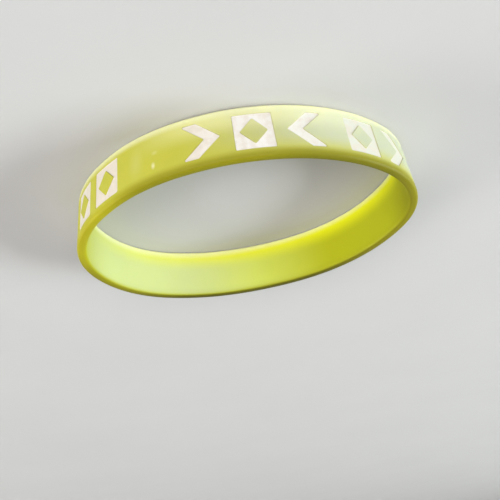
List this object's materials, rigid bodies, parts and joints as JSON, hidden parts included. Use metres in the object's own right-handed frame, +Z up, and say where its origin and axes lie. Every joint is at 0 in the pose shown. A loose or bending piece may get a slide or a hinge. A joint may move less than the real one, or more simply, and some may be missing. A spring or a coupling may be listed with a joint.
{
  "type": "silicone wristband",
  "caption": "Moulded silicone wristband, a closed oval loop lying on its rim, with ink-filled geometric marks sunk into its outer face.",
  "frame": {"origin": "centre of the loop's box, on the surface that it lies on", "axes": "+X along the loop's longer way, towards its larger end; +Z up along the axis of the wrist hole, towards the wider rim"},
  "size_m": [0.0746, 0.0636, 0.012],
  "materials": {
    "silicone": "satin lime green silicone, slightly translucent",
    "ink": "matt white silicone ink"
  },
  "bodies": {
    "root": {"band": "silicone", "ink_fill": "ink"}
  },
  "joints": []
}
